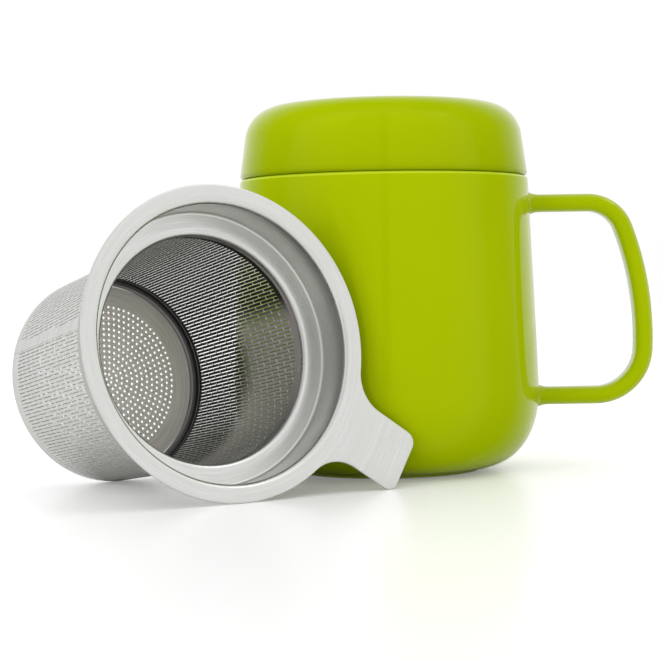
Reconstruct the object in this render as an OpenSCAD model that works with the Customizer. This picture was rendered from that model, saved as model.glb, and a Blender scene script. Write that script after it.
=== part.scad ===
// Lidded ceramic tea mug with a lift-out infuser basket, in millimetres.
// The origin is the centre of the mug's foot, on the table, with +Z up and the handle towards +X.
// The basket lies on its side on the table beside the mug, resting on its flange, base and tab.

/* [Mug] */
// Height of the rim above the table
mug_height = 87.2; // [82:0.1:110]
// Radius at the rim, outside
rim_r = 43; // [42:0.1:46]
// Widest radius of the body, near its foot
belly_r = 45.5; // [44:0.1:52]
// Height of the widest place
belly_height = 24; // [18:0.5:32]
// Squareness of the rounding between the foot and the belly, where 2 is an ellipse
belly_curve = 2.2; // [2:0.05:3]
// Outer radius of the foot ring
foot_r = 27.5; // [20:0.5:34]
// Height of the foot ring
foot_height = 1; // [0.5:0.1:3]
// Width of the foot ring
foot_width = 3.5; // [2:0.1:6]
// Depth of the hollow inside the foot ring
foot_hollow = 1.6; // [0.5:0.1:3]
// Height of the inner floor above the table
floor_height = 7; // [5:0.1:12]
// Rounding of the rim's edges
lip_round = 1.3; // [0.6:0.1:1.8]

/* [Handle] */
// How far the top of the handle lies below the rim
handle_drop = 5.55; // [4:0.05:12]
// Height of the handle's underside above the table
handle_low = 19; // [14:0.5:26]
// How far the handle stands out past the belly
handle_out = 34.2; // [28:0.1:42]
// Thickness of the handle in its own plane
handle_thick = 5.2; // [4:0.1:8]
// Width of the handle across its plane
handle_width = 10; // [7:0.1:14]
// Rounding of the handle's long edges
handle_edge = 1.8; // [0.8:0.1:1.9]
// Outer radius of the upper bend
handle_top_bend = 14; // [11:0.5:18]
// Outer radius of the lower bend
handle_low_bend = 17; // [12:0.5:20]
// Outer radius of the slightly bowed grip
handle_bow = 95; // [70:1:200]
// Height at which the grip stands out furthest
handle_bow_height = 39.5; // [36:0.5:48]

/* [Lid] */
// Height of the lid above the rim
lid_height = 23.1; // [20:0.1:32]
// How far the lid's edge stands in from the rim's outer edge
lid_step = 0.2; // [0:0.1:1.5]
// Lean of the lid's side, in degrees
lid_lean = 8; // [2:0.5:10]
// Radius of the rounded shoulder
lid_shoulder = 10.5; // [9:0.5:14]
// Radius of the gently domed top
lid_dome = 330; // [200:10:500]
// Wall thickness of the lid
lid_wall = 4.5; // [3:0.1:5.5]
// Rounding of the lid's lower edge
lid_round = 1; // [0.5:0.1:1.6]
// Thickness of the inner ledge that the lid rests on
lid_ledge = 4; // [3:0.1:6]
// Depth of the locating ring below the rim
lid_ring_depth = 6; // [4:0.1:9]
// Wall thickness of the locating ring
lid_ring_wall = 4; // [3:0.1:5]
// Gap between the locating ring and the basket's collar, in which it also fits
lid_ring_gap = 0.6; // [0.3:0.1:1.5]

/* [Basket] */
// Radius of the flange that rests on the mug's rim
flange_r = 42; // [41:0.1:44]
// Thickness of the sheet in the flange, tab, collar and ledge
rim_sheet = 0.7; // [0.5:0.05:0.9]
// Inner radius of the collar
collar_r = 36.9; // [35:0.1:37.4]
// Depth of the collar below the flange
collar_depth = 11.5; // [9.5:0.1:16]
// Gap between the collar and the mug's mouth
collar_gap = 0.4; // [0.2:0.1:0.8]
// Radius of the bend from the flange into the collar
flange_bend = 1.6; // [1.2:0.1:2.4]
// Inner radius of the ledge, where the basket's wall begins
ledge_r = 30.6; // [29.8:0.1:33]
// Depth of the short lip below the ledge, to which the wall is welded
lip_depth = 2; // [1.5:0.1:4]
// Overall depth of the basket below the flange's face
basket_depth = 71.3; // [50:0.1:74]
// Outer radius of the basket at its base
base_r = 29.8; // [27:0.1:30.3]
// Thickness of the sheet in the wall and in the perforated base
wall_sheet = 0.6; // [0.4:0.05:0.8]
// Rounding of the base's outer edge
base_round = 1.75; // [1:0.05:3]

/* [Wall slots] */
// Columns of slots round the wall
slot_columns = 20; // [12:1:24]
// Rows of slots down the wall
slot_rows = 4; // [2:1:6]
// Width of a slot
slot_width = 4.6; // [2:0.1:6]
// Metal left between two rows of slots
slot_bridge = 2.5; // [1:0.1:4]
// Plain margin above the top row and below the bottom row
slot_margin = 2; // [1:0.5:6]
// Direction of the wall's plain seam between two columns, in degrees from the tab
seam_turn = 195.7; // [0:0.1:359]

/* [Drain holes] */
// Diameter of a drain hole in the base
hole_d = 0.9; // [0.6:0.05:1.2]
// Spacing between the rings of drain holes
hole_pitch = 1.65; // [1.6:0.05:3]
// Plain margin between the outer ring of holes and the edge of the flat base
hole_margin = 6; // [3:0.5:10]

/* [Tab] */
// Length of the tab past the flange's edge
tab_length = 21.1; // [16:0.1:26]
// Width of the tab
tab_width = 17.8; // [14:0.1:24]
// Rounding of the tab's outer corners
tab_round = 3.2; // [2:0.1:6]
// Radius of the fillets between the tab and the flange
tab_fillet = 11; // [6:0.5:16]

/* [Basket on the table] */
// Direction in which the mouth's axis turns from straight ahead, in degrees
basket_turn = 33.9; // [20:0.5:50]
// Direction from the mug's axis to the tab's upper corner, in degrees from +X
basket_bearing = -86.3; // [-100:0.1:-75]
// Least room between the mug's belly and the tab
basket_gap = 0.4; // [0.4:0.1:20]

/* [Hidden] */
$fn = 96;

glaze = [0.62, 0.76, 0.05];
steel = [0.80, 0.80, 0.79];
mesh_steel = [0.68, 0.68, 0.67];

arc_steps = 6;
side_steps = 10;
belly_blend = 0.1;
overlap = 1.5;

mouth_r = collar_r + rim_sheet + collar_gap;
mug_wall = rim_r - mouth_r;
inner_foot_r = foot_r - foot_width + 0.5;
lid_r = rim_r - lid_step;
lid_top = mug_height + lid_height;
ring_outer_r = collar_r - lid_ring_gap;
ring_inner_r = ring_outer_r - lid_ring_wall;
tab_reach = flange_r + tab_length;
hole_ring_max = base_r - base_round - hole_margin;

// Points along an arc about a centre, from one angle to another.
function arc(centre, r, from, to, steps = arc_steps) = [
  for (i = [0:steps])
    let (a = from + (to - from) * i / steps)
    [centre[0] + r * cos(a), centre[1] + r * sin(a)]
];

function reversed(points) = [for (i = [len(points) - 1:-1:0]) points[i]];

// ---- Mug ----

// Rounded corner of the body from a flat bottom at height low up to the belly.
function belly_points(bottom_r, side_r, low) = [
  for (i = [0:2 * arc_steps])
    let (a = 90 - 90 * i / (2 * arc_steps))
    [
      bottom_r + (side_r - bottom_r) * pow(cos(a), 2 / belly_curve),
      belly_height - (belly_height - low) * pow(sin(a), 2 / belly_curve)
    ]
];

// The side above the belly: upright at the belly, then an even taper to the rim.
function side_radius(top_r, bottom_r, u) =
  bottom_r - (bottom_r - top_r) * u * u * (1 + belly_blend) / (u + belly_blend);

function side_points(top_r, bottom_r, top) = [
  for (i = [1:side_steps])
    let (u = i / side_steps)
    [side_radius(top_r, bottom_r, u), belly_height + (top - belly_height) * u]
];

function mug_outline() = concat(
  [[foot_r, 0]],
  belly_points(foot_r, belly_r, foot_height),
  side_points(rim_r, belly_r, mug_height - lip_round),
  arc([rim_r - lip_round, mug_height - lip_round], lip_round, 15, 90)
);

function mug_hollow() = concat(
  belly_points(inner_foot_r, belly_r - mug_wall, floor_height),
  side_points(mouth_r, belly_r - mug_wall, mug_height - lip_round),
  arc([mouth_r + lip_round, mug_height - lip_round], lip_round, 165, 90)
);

module mug_body() {
  color(glaze)
    rotate_extrude()
      polygon(concat(
        mug_outline(),
        reversed(mug_hollow()),
        [
          [0, floor_height],
          [0, foot_hollow],
          [foot_r - foot_width - foot_hollow, foot_hollow],
          [foot_r - foot_width, 0]
        ]
      ));
}

// ---- Handle ----

handle_top = mug_height - handle_drop;
handle_reach = belly_r + handle_out;
bow_centre = [handle_reach - handle_bow, handle_bow_height];

// A bend touches its arm at one height and the bowed grip from inside.
function bend_centre(height, r) = [
  bow_centre[0] + sqrt(pow(handle_bow - r, 2) - pow(height - bow_centre[1], 2)),
  height
];

function bend_angle(centre) = atan2(centre[1] - bow_centre[1], centre[0] - bow_centre[0]);

handle_lap = 0.3;
handle_step = 0.02;
lap_angle = handle_lap / handle_bow * 180 / PI;
top_bend = bend_centre(handle_top - handle_top_bend, handle_top_bend);
low_bend = bend_centre(handle_low + handle_low_bend, handle_low_bend);

// The arms and the grip are a hair slimmer than the bends that they run into.
module handle_section(slimmer = 0) {
  x = handle_thick / 2 - slimmer - handle_edge;
  y = handle_width / 2 - slimmer - handle_edge;
  polygon(concat(
    arc([x, y], handle_edge, 0, 90),
    arc([-x, y], handle_edge, 90, 180),
    arc([-x, -y], handle_edge, 180, 270),
    arc([x, -y], handle_edge, 270, 360)
  ));
}

module handle_curve(centre, outer_r, from, to, slimmer = 0) {
  translate(centre)
    rotate(from)
      rotate_extrude(angle = to - from)
        translate([outer_r - handle_thick / 2, 0])
          handle_section(slimmer);
}

module handle_arm(height, reach) {
  start = mouth_r + mug_wall / 2;
  translate([start, height])
    rotate([90, 0, 90])
      linear_extrude(reach + handle_lap - start)
        handle_section(handle_step);
}

module mug_handle() {
  color(glaze)
    difference() {
      rotate([90, 0, 0]) {
        handle_arm(handle_top - handle_thick / 2, top_bend[0]);
        handle_curve(top_bend, handle_top_bend, bend_angle(top_bend), 90);
        handle_curve(
          bow_centre, handle_bow,
          bend_angle(low_bend) - lap_angle, bend_angle(top_bend) + lap_angle,
          handle_step
        );
        handle_curve(low_bend, handle_low_bend, -90, bend_angle(low_bend));
        handle_arm(handle_low + handle_thick / 2, low_bend[0]);
      }
      rotate_extrude()
        polygon(concat(mug_outline(), [[0, mug_height], [0, 0]]));
    }
}

// ---- Lid ----

edge_centre = [lid_r - lid_round, mug_height + lid_round];
dome_centre = [0, lid_top - lid_dome];

// How far the leaning side stands from the origin, measured square to it.
side_offset = edge_centre[0] * cos(lid_lean) + edge_centre[1] * sin(lid_lean) + lid_round;

// The shoulder touches the side and, from inside, the dome.
shoulder_k = side_offset - lid_shoulder - dome_centre[1] * sin(lid_lean);
shoulder_y = shoulder_k * sin(lid_lean)
  + cos(lid_lean) * sqrt(pow(lid_dome - lid_shoulder, 2) - pow(shoulder_k, 2));
shoulder_x = (shoulder_k - shoulder_y * sin(lid_lean)) / cos(lid_lean);
shoulder_centre = [shoulder_x, dome_centre[1] + shoulder_y];
dome_angle = atan2(shoulder_y, shoulder_x);

// The lid's shoulder and dome, set in from the outer face by inset.
function lid_top_points(inset) = concat(
  arc(shoulder_centre, lid_shoulder - inset, lid_lean, dome_angle, 2 * arc_steps),
  arc(dome_centre, lid_dome - inset, dome_angle, 90)
);

function inner_side_radius(height) =
  (side_offset - lid_wall - height * sin(lid_lean)) / cos(lid_lean);

module lid_shell() {
  ledge_top = mug_height + lid_ledge;
  color(glaze)
    rotate_extrude()
      polygon(concat(
        arc(edge_centre, lid_round, -90, lid_lean),
        lid_top_points(0),
        reversed(lid_top_points(lid_wall)),
        [
          [inner_side_radius(ledge_top), ledge_top],
          [ring_inner_r, ledge_top],
          [ring_inner_r, mug_height]
        ]
      ));
}

module lid_ring() {
  bottom = mug_height - lid_ring_depth;
  round = lid_ring_wall / 3;
  color(glaze)
    rotate_extrude()
      polygon(concat(
        arc([ring_inner_r + round, bottom + round], round, 180, 270),
        arc([ring_outer_r - round, bottom + round], round, 270, 360),
        [[ring_outer_r, mug_height], [ring_inner_r, mug_height]]
      ));
}

// ---- Basket, drawn upright with its flange's face at height 0 and its tab towards +X ----

flange_round = rim_sheet / 2;
inner_bend = 0.8;
ledge_bottom = -collar_depth - rim_sheet;
lip_bottom = ledge_bottom - lip_depth;
base_corner = [base_r - base_round, base_round - basket_depth];

module rim_profile() {
  bend = [collar_r + flange_bend, -flange_bend];
  corner = [collar_r - inner_bend, inner_bend - collar_depth];
  lip = [ledge_r + rim_sheet + inner_bend, ledge_bottom - inner_bend];
  polygon(concat(
    arc([flange_r - flange_round, -flange_round], flange_round, -90, 90),
    arc(bend, flange_bend, 90, 180),
    arc(corner, inner_bend, 0, -90),
    arc(lip, inner_bend + rim_sheet, 90, 180),
    [[ledge_r, lip_bottom], [ledge_r + rim_sheet, lip_bottom]],
    arc(lip, inner_bend, 180, 90),
    arc(corner, inner_bend + rim_sheet, -90, 0),
    arc(bend, flange_bend - rim_sheet, 180, 90)
  ));
}

// One side of the tab, from its root on the flange to the middle of its outer end.
function tab_side() =
  let (
    half = tab_width / 2,
    root = [sqrt(pow(flange_r + tab_fillet, 2) - pow(half + tab_fillet, 2)), half + tab_fillet],
    angle = atan2(root[1], root[0])
  )
  concat(
    [[(flange_r - overlap) * cos(angle), (flange_r - overlap) * sin(angle)]],
    arc(root, tab_fillet, 180 + angle, 270, 2 * arc_steps),
    arc([tab_reach - tab_round, half - tab_round], tab_round, 90, 0)
  );

module infuser_rim_upright() {
  rotate_extrude()
    rim_profile();
  translate([0, 0, -rim_sheet])
    linear_extrude(rim_sheet)
      polygon(concat(
        tab_side(),
        [for (p = reversed(tab_side())) [p[0], -p[1]]]
      ));
}

// The rows of slots fill the wall's height but for the margins and the metal between them.
slots_bottom = base_corner[1] + slot_margin;
slot_pitch = (lip_bottom - slot_margin - slots_bottom + slot_bridge) / slot_rows;

module wall_slots() {
  inside = base_r - wall_sheet - 2 * overlap;
  outside = ledge_r + wall_sheet + overlap;
  for (column = [0:slot_columns - 1], row = [0:slot_rows - 1])
    rotate(seam_turn + 360 * (column + 0.5) / slot_columns)
      translate([inside, -slot_width / 2, slots_bottom + row * slot_pitch])
        cube([outside - inside, slot_width, slot_pitch - slot_bridge]);
}

// The wall tapers a little, and its lower edge is turned in to carry the base.
module infuser_wall_upright() {
  difference() {
    rotate_extrude()
      polygon(concat(
        [[ledge_r, lip_bottom], [ledge_r + wall_sheet, lip_bottom]],
        arc(base_corner, base_round, 0, -90),
        arc(base_corner, base_round - wall_sheet, -90, 0)
      ));
    wall_slots();
  }
}

// Each ring of holes has 6 more than the one inside it, which keeps their spacing even.
module drain_holes() {
  circle(d = hole_d, $fn = 24);
  for (ring = [1:floor(hole_ring_max / hole_pitch)]) {
    count = 6 * ring + 2;
    for (i = [0:count - 1])
      rotate(360 * i / count)
        translate([ring * hole_pitch, 0])
          circle(d = hole_d, $fn = 24);
  }
}

module infuser_base_upright() {
  translate([0, 0, -basket_depth])
    linear_extrude(wall_sheet)
      difference() {
        circle(base_corner[0]);
        drain_holes();
      }
}

// ---- Basket on the table ----

// Tilt at which the flange's edge and the base's edge both touch the table.
tilt_across = flange_r - flange_round - base_r + base_round;
tilt_along = basket_depth - base_round - flange_round;
basket_tilt = acos((base_round - flange_round) / norm([tilt_across, tilt_along]))
  - atan2(tilt_along, tilt_across);
flange_height = (flange_r - flange_round) * cos(basket_tilt)
  + flange_round * (1 + sin(basket_tilt));

// Turn about the basket's own axis at which the tab's lower corner touches the table.
tab_corner = [tab_reach - tab_round, tab_width / 2 - tab_round];
tab_drop = (flange_height - rim_sheet * sin(basket_tilt)) / cos(basket_tilt) - tab_round;
tab_turn = asin(tab_drop / norm(tab_corner)) - atan2(tab_corner[1], tab_corner[0]);

// Where the tab's upper corner lies from the flange's centre: along it, and up its slope.
corner_along = tab_corner[0] * cos(tab_turn) + tab_corner[1] * sin(tab_turn);
corner_up = tab_corner[1] * cos(tab_turn) - tab_corner[0] * sin(tab_turn);
corner_back = corner_up * sin(basket_tilt);
corner_distance = belly_r + basket_gap + tab_round;
flange_place = [
  corner_distance * cos(basket_bearing)
    - corner_along * cos(basket_turn) + corner_back * sin(basket_turn),
  corner_distance * sin(basket_bearing)
    - corner_along * sin(basket_turn) - corner_back * cos(basket_turn),
  flange_height
];

module on_the_table() {
  translate(flange_place)
    rotate([90 - basket_tilt, 0, basket_turn])
      rotate(-tab_turn)
        children();
}

module infuser_rim() {
  color(steel) on_the_table() infuser_rim_upright();
}

module infuser_wall() {
  color(mesh_steel) on_the_table() infuser_wall_upright();
}

module infuser_base() {
  color(steel) on_the_table() infuser_base_upright();
}

mug_body();
mug_handle();
lid_shell();
lid_ring();
infuser_rim();
infuser_wall();
infuser_base();
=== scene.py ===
"""Glazed tea mug with its lid and steel infuser basket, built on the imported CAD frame."""

import math
import bmesh
import bpy
from mathutils import Matrix, Vector


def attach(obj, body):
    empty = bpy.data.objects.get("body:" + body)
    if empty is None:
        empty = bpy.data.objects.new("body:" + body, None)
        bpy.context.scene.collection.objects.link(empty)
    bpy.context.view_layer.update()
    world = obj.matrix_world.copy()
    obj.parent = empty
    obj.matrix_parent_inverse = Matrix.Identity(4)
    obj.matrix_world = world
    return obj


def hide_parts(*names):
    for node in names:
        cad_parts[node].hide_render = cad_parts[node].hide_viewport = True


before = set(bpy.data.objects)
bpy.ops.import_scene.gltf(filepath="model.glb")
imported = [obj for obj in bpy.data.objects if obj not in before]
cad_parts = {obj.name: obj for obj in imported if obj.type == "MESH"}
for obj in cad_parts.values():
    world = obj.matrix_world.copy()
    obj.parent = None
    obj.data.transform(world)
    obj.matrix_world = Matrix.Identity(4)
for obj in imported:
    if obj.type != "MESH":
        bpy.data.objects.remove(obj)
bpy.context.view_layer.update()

bl_info = {
    "name": "Lidded Tea Mug with Infuser Basket",
    "version": (1, 0, 0),
    "blender": (4, 5, 0),
    "location": "3D View > Sidebar > Tea Mug",
    "description": "Builds the glazed mug, its lid and the slit steel basket on their CAD bodies",
    "category": "Object",
}

MM = 0.001

# ---- Shared sizes, in millimetres and degrees ----

RIM_R = 43.0
RIM_HEIGHT = 87.2
BELLY_R = 45.5
BELLY_HEIGHT = 24.0
BELLY_CURVE = 2.2
BELLY_BLEND = 0.1
WALL = 5.0
FOOT_R = 27.5
FOOT_HEIGHT = 1.0
FOOT_INNER_R = 24.0
FOOT_HOLLOW = 1.6
FOOT_ROUND = 0.5
FOOT_SLOPE = 1.8
FOOT_FLAT_INSET = 0.2
FLOOR_R = 24.5
FLOOR_HEIGHT = 7.0
LIP_ROUND = 1.3
# Heights at which the glaze ends and at which the clay is wholly bare
GLAZE_END = 0.4
CLAY_BARE = 0.2
# Steps of a piece that is spun all round, and the angle from which an edge is kept sharp
ROUND_STEPS = 192
CREASE = 35

HANDLE_THICK = 5.2
HANDLE_WIDTH = 10.0
HANDLE_EDGE = 2.5
HANDLE_TOP = 81.65
HANDLE_LOW = 19.0
TOP_BEND_R = 14.0
LOW_BEND_R = 17.0
BOW_R = 95.0
BOW_CENTRE = (-15.3, 39.5)
# How far the flare sinks into the body's skin, and how far the arm then runs on inside the wall
FLARE_SINK = 0.03
ARM_END = 1.5

LID_TOP = 110.3
LID_EDGE_R = 42.8
LID_ROUND = 1.0
LID_LEAN = 8.0
LID_SHOULDER = 10.5
LID_SHOULDER_CENTRE = (30.7853, 98.3134)
LID_DOME = 330.0
LID_DOME_ANGLE = 84.4707
LID_WALL = 4.5
LEDGE_TOP = 91.2
LEDGE_CORNER = 1.0
RING_OUTER_R = 36.3
RING_INNER_R = 32.3
RING_DEPTH = 6.0
RING_SHOULDER = 0.8
RING_ROUND = 1.3

FLANGE_R = 42.0
RIM_SHEET = 0.7
RIM_EDGE = 0.3
COLLAR_R = 36.9
COLLAR_DEPTH = 11.5
FLANGE_BEND = 1.6
INNER_BEND = 0.8
# How far the flange's two inner loops stand in from its edge
FLANGE_LOOPS = (0.8, 2.1)
LEDGE_R = 30.6
LIP_DEPTH = 2.0
TAB_REACH = 63.1
TAB_HALF = 8.9
TAB_ROUND = 3.2
TAB_FILLET = 11.0
# Half of the turn that gets the finer steps, for the tab, and the steps on and off it
TAB_TURN_HALF = 24
TAB_STEPS = 192
FLANGE_STEPS = 208

BASKET_DEPTH = 71.3
BASE_R = 29.8
BASE_ROUND = 1.75
BASE_SHEET = 0.5
BASE_PROUD = 0.4
BASE_GAP = 0.3
BASE_EDGE = 0.28
HOLE_RINGS = 13
HOLE_PITCH = 1.65
WALL_SHEET = 0.6
SLIT_SHEET = 0.25
# Depths at which the wall begins, where the lip ends, and at which it turns in to the base
WALL_TOP = COLLAR_DEPTH + RIM_SHEET + LIP_DEPTH
WALL_CORNER = BASKET_DEPTH - BASE_ROUND
# The wall's lapped seam, and how the columns of slits wander up and down round the wall
SEAM_ANGLE = 161.1
SEAM_TOP = 15.2
SEAM_PROUD = 0.1
SEAM_SHEET = 0.2
SHEET_LEAN = 0.06
SHEET_LEAN_POWER = 6
SLIT_SWING = 29.0
SLIT_SWING_ANGLE = 190.0

# The basket lies on its side: its flange's centre, its lean, its turn and the tab's turn
FLANGE_PLACE = (-43.2611, -74.0649, 41.4303)
BASKET_TILT = 9.98125
BASKET_TURN = 33.9
TAB_TURN = 34.6474

# ---- Tones and light ----

# How strongly the glaze gleams, from where it faces the eye (0) to where it turns away (1)
BODY_GLEAM = ((0.18, 0.42), (0.28, 0.01), (0.46, 0.01), (0.60, 0.13), (0.73, 0.45), (0.84, 0.90))
HANDLE_GLEAM = ((0.06, 0.04), (0.18, 0.08), (0.34, 0.85), (0.50, 1.00))

# Height band round the rim in which the lip's painted highlight and the lid's painted shade lie,
# how far outside the lid's ring that sets in, and the (place, level) stops of each within the band
EDGE_BAND = (-2.2, 12.8)
EDGE_FADE = (1.0, 1.3)
LIP_HIGHLIGHT_STOPS = ((0.080, 0.0), (0.097, 1.0), (0.117, 1.0), (0.133, 0.0))
LID_SHADE_STOPS = (
    (0.140, 0.0), (0.147, 1.0), (0.207, 1.0), (0.287, 0.55), (0.387, 0.45), (0.587, 0.33),
    (0.867, 0.2), (1.0, 0.1),
)

# The band at the wall's foot, from this height above the bend down to the base, which holds the
# painted shade of the corner and the painted highlight line
CORNER_RISE = 2.55
CORNER_SHADE_STOPS = ((0.0, 0.0), (0.10, 0.9), (0.72, 1.0), (0.92, 0.5))
# Painted highlight: a light line at the base's edge, and a lighter band at the very foot of the
# wall
HIGHLIGHT_LINE_STOPS = ((0.30, 0.0), (0.34, 0.6), (0.38, 0.6), (0.42, 0.0), (0.78, 0.0), (0.92, 0.3))
# The painted sheen, a lighter patch inside the wall that stands for a reflection: its direction,
# and the distances and heights of its soft edge
PAINTED_SHEEN_TURN = -10
PAINTED_SHEEN_SIDE = (9.0, 17.0)
PAINTED_SHEEN_HEIGHT = (-46.0, -36.0)
# Heights over which the painted shade inside the collar sets in
COLLAR_SHADE_FADE = (-0.8, -2.0)
# How far inside the bend the inside's lower limit leaves the base's sheet, and the height in
# metres to which it then drops
BEND_FADE = (0.25, 0.1)
BELOW_ALL = -1.0

# The range that a noise's values fill, the narrower range over which the lines tone the steel,
# and how far the lines change its roughness
NOISE_SPAN = (0.3, 0.7)
LINE_SPAN = (0.35, 0.65)
SATIN_SWING = 0.15
CLAY_ROUGHNESS = 0.85

# The tent's light round the camera, in radians: where a change begins and ends, then the light
# before and after it
DIM_WALL = (-0.64, -0.52, 1.0, 0.78)
BRIGHT_WALL = (0.02, 0.10, 0.0, 0.2)
CAMERA_SLOT = (0.02, 0.08, 0.35, 1.0)
SLOT_OFFSET = 0.02
FLOOR_LIFT = 0.19

CAMERA_PLACE = (-16.70, -550, 56.93)
CAMERA_DOWN = 0.0269
CAMERA_ROLL = -0.01545
# The point that the panels face, in metres as their own places are
PANEL_AIM = (0, -0.02, 0.05)


def basket_placement():
    """Moves the upright basket, drawn with its flange's face at height 0, onto the table."""
    return (
        Matrix.Translation(Vector(FLANGE_PLACE) * MM)
        @ Matrix.Rotation(math.radians(BASKET_TURN), 4, "Z")
        @ Matrix.Rotation(math.radians(90 - BASKET_TILT), 4, "X")
        @ Matrix.Rotation(math.radians(-TAB_TURN), 4, "Z")
    )


# ---- Settings that a user would change ----


class MugSettings(bpy.types.PropertyGroup):
    """Finish of the glazed mug and lid, with the painted light and shade of its glaze"""

    glaze_colour: bpy.props.FloatVectorProperty(
        name="Glaze", description="Colour of the glaze", subtype="COLOR", size=3,
        min=0, max=1, default=(0.368, 0.472, 0.0004),
    )
    glaze_pooled: bpy.props.FloatVectorProperty(
        name="Pooled Glaze", description="Colour where the glaze lies thicker", subtype="COLOR",
        size=3, min=0, max=1, default=(0.350, 0.455, 0.0003),
    )
    # Painted shade: the glaze is made darker towards the lid's lower edge
    lid_shade_colour: bpy.props.FloatVectorProperty(
        name="Lid's Painted Shade", description="Colour of the painted shade towards the lid's lower edge",
        subtype="COLOR", size=3, min=0, max=1, default=(0.275, 0.358, 0.0003),
    )
    # Painted highlight: a lighter line painted along the mug's rounded lip
    lip_highlight_colour: bpy.props.FloatVectorProperty(
        name="Lip Highlight", description="Colour of the painted highlight round the mug's lip",
        subtype="COLOR", size=3, min=0, max=1, default=(0.49, 0.62, 0.02),
    )
    clay_colour: bpy.props.FloatVectorProperty(
        name="Bare Clay", description="Colour of the unglazed foot ring", subtype="COLOR",
        size=3, min=0, max=1, default=(0.72, 0.67, 0.58),
    )
    glaze_roughness: bpy.props.FloatProperty(
        name="Glaze Roughness", description="Blur of the glaze's reflections",
        min=0, max=1, default=0.035, subtype="FACTOR",
    )
    handle_flare: bpy.props.FloatProperty(
        name="Handle Flare", description="How far the handle widens where it meets the body",
        min=0.0002, max=0.003, default=0.0011, unit="LENGTH",
    )
    handle_run: bpy.props.FloatProperty(
        name="Flare Length", description="Length over which the handle widens",
        min=0.0005, max=0.008, default=0.0034, unit="LENGTH",
    )


class BasketSettings(bpy.types.PropertyGroup):
    """Slits, holes and finish of the steel basket, with its painted light and shade"""

    steel_colour: bpy.props.FloatVectorProperty(
        name="Steel", description="Colour of the satin steel", subtype="COLOR", size=3,
        min=0, max=1, default=(0.745, 0.752, 0.725),
    )
    base_colour: bpy.props.FloatVectorProperty(
        name="Base Steel", description="Colour of the drilled base",
        subtype="COLOR", size=3, min=0, max=1, default=(1.0, 0.965, 0.88),
    )
    # Painted shade: the steel inside the collar is painted darker
    collar_shade_colour: bpy.props.FloatVectorProperty(
        name="Collar Shade", description="Colour of the painted shade inside the collar",
        subtype="COLOR", size=3, min=0, max=1, default=(0.47, 0.475, 0.445),
    )
    # Painted shade: the wall's inside face is painted near black for its shade and dark reflections
    inner_shade_colour: bpy.props.FloatVectorProperty(
        name="Inner Wall Shade", description="Colour of the painted shade on the wall's face inside the basket",
        subtype="COLOR", size=3, min=0, max=1, default=(0.04, 0.04, 0.037),
    )
    # Painted light and shade: a lighter patch inside the wall for a reflection, the highlight line
    # at the wall's foot, and darker steel inside the basket's lip
    painted_sheen_and_shade_colour: bpy.props.FloatVectorProperty(
        name="Inner Sheen", description="Colour of the painted sheen inside the wall, the painted highlight line at its foot and the painted shade inside the lip",
        subtype="COLOR", size=3, min=0, max=1, default=(0.57, 0.55, 0.545),
    )
    cut_colour: bpy.props.FloatVectorProperty(
        name="Cut Edge", description="Colour of the bright cut edges of the slits",
        subtype="COLOR", size=3, min=0, max=1, default=(0.85, 0.85, 0.82),
    )
    # Painted shade: the corner between the wall and the base is painted near black
    corner_shade_colour: bpy.props.FloatVectorProperty(
        name="Corner Shade", description="Colour of the painted shade in the corner between the wall and the base",
        subtype="COLOR", size=3, min=0, max=1, default=(0.02, 0.02, 0.02),
    )
    slit_columns: bpy.props.IntProperty(
        name="Slit Columns", description="Columns of slits round the wall",
        min=60, max=240, default=184,
    )
    slit_width: bpy.props.FloatProperty(
        name="Slit Width", description="Width of a slit", min=0.0002, max=0.0007,
        default=0.00028, unit="LENGTH",
    )
    slit_pitch: bpy.props.FloatProperty(
        name="Slit Pitch", description="Distance from one slit to the next in its column",
        min=0.003, max=0.012, default=0.00665, unit="LENGTH",
    )
    bridge: bpy.props.FloatProperty(
        name="Bridge", description="Metal left between two slits in a column",
        min=0.0002, max=0.0015, default=0.0003, unit="LENGTH",
    )
    slit_top: bpy.props.FloatProperty(
        name="Slits Begin", description="Depth below the flange at which the slits begin",
        min=0.0148, max=0.03, default=0.0166, unit="LENGTH",
    )
    slit_bottom: bpy.props.FloatProperty(
        name="Slits End", description="Depth below the flange at which the slits end",
        min=0.04, max=0.0690, default=0.0670, unit="LENGTH",
    )
    seam_columns: bpy.props.IntProperty(
        name="Seam Columns", description="Columns left plain along the wall's lapped seam",
        min=1, max=6, default=3,
    )
    hole_size: bpy.props.FloatProperty(
        name="Drain Hole", description="Diameter of a drain hole in the base",
        min=0.0005, max=0.0012, default=0.00082, unit="LENGTH",
    )


class StageSettings(bpy.types.PropertyGroup):
    """Floor and lamps"""

    floor_colour: bpy.props.FloatVectorProperty(
        name="Floor", description="Colour of the floor", subtype="COLOR", size=3,
        min=0, max=1, default=(0.88, 0.88, 0.88),
    )
    key_power: bpy.props.FloatProperty(
        name="Right Panel", description="Power of the soft panel at the upper right",
        min=0, max=60, default=0.45, unit="POWER",
    )
    fill_power: bpy.props.FloatProperty(
        name="Front Panel", description="Power of the soft panel in front, at the left",
        min=0, max=60, default=5.0, unit="POWER",
    )
    top_power: bpy.props.FloatProperty(
        name="Top Panel", description="Power of the soft panel overhead",
        min=0, max=60, default=0.25, unit="POWER",
    )


# ---- Shapes ----


def arc(centre, radius, start, end, steps):
    """Points from one angle to another, in degrees, on an arc of an outline."""
    angles = [math.radians(start + (end - start) * i / steps) for i in range(steps + 1)]
    return [(centre[0] + radius * math.cos(a), centre[1] + radius * math.sin(a)) for a in angles]


def side_radius(top_r, bottom_r, share):
    """The upright side: upright at the belly, then an even taper to the rim."""
    blend = share * share * (1 + BELLY_BLEND) / (share + BELLY_BLEND)
    return bottom_r - (bottom_r - top_r) * blend


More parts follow.
